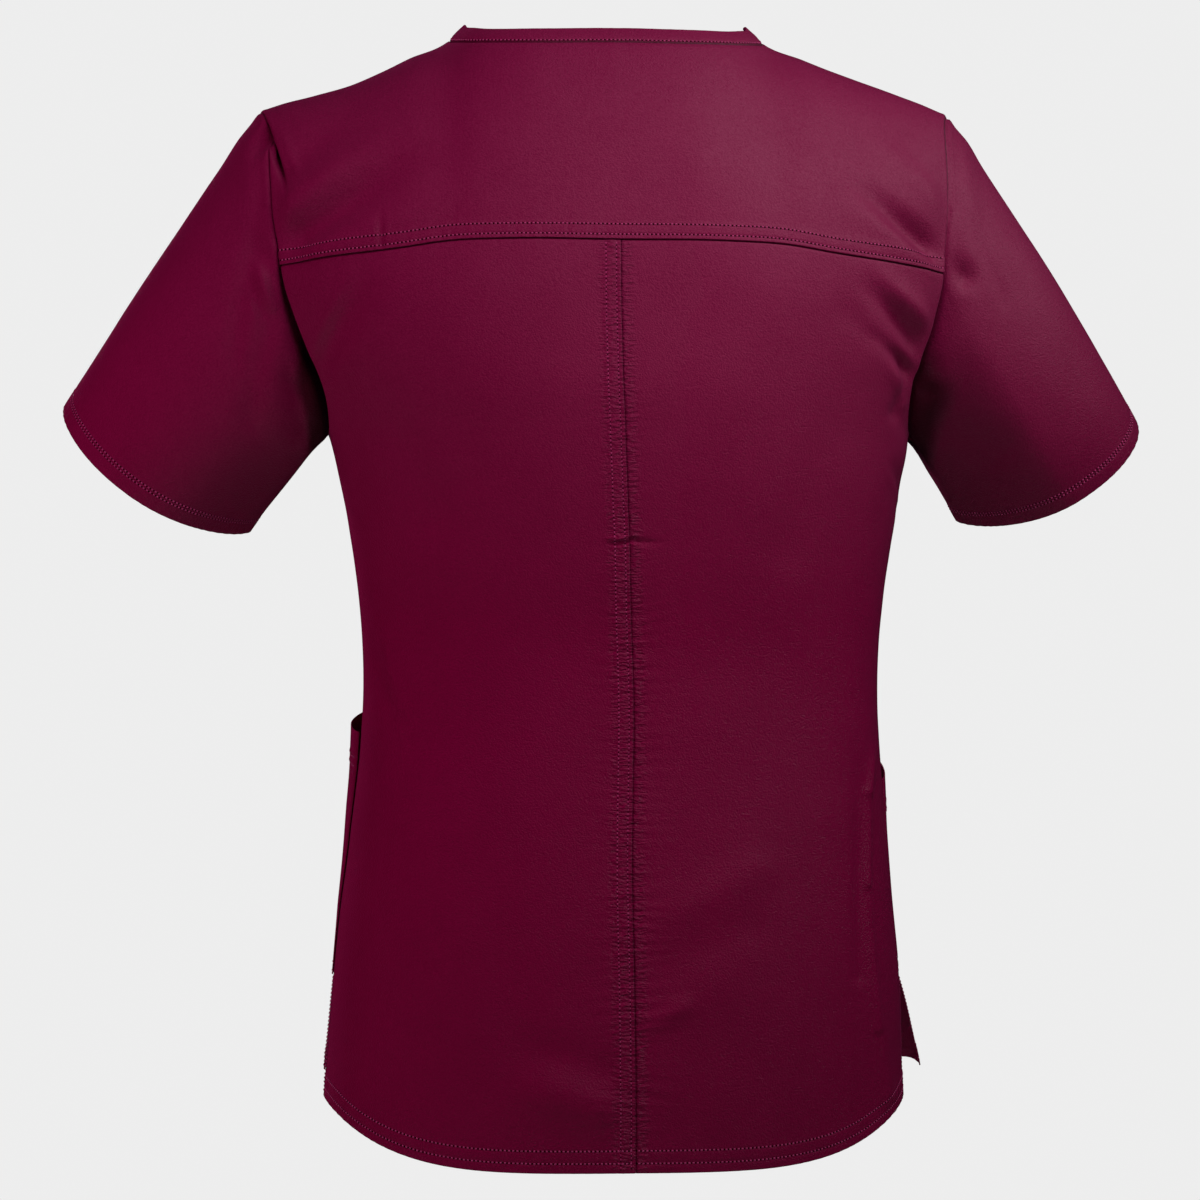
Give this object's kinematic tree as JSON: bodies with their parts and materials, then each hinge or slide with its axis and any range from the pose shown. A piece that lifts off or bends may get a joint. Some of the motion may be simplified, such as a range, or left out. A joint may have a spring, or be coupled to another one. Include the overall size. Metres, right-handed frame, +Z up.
{
  "type": "scrub top",
  "caption": "Short-sleeved scrub top with a V neck, back yoke, shirt-tail hem, side vents and patch pockets, filled out as if worn.",
  "frame": {"origin": "midway between the two points where the shoulder ridges meet the neck, where the wearer's shoulders hold the top", "axes": "+Z up, the front faces -Y and the wearer's left is +X"},
  "size_m": [0.7501, 0.2477, 0.7765],
  "materials": {
    "cloth": "burgundy plain-dyed twill with a slight sheen",
    "band": "the same twill, doubled as a binding",
    "thread": "burgundy sewing thread, topstitched in double rows"
  },
  "bodies": {
    "root": {"back_left": "cloth", "back_right": "cloth", "front": "cloth", "neckband": "band", "pocket_left": "cloth", "pocket_right": "cloth", "sleeve_left": "cloth", "sleeve_right": "cloth", "yoke": "cloth"}
  },
  "joints": []
}
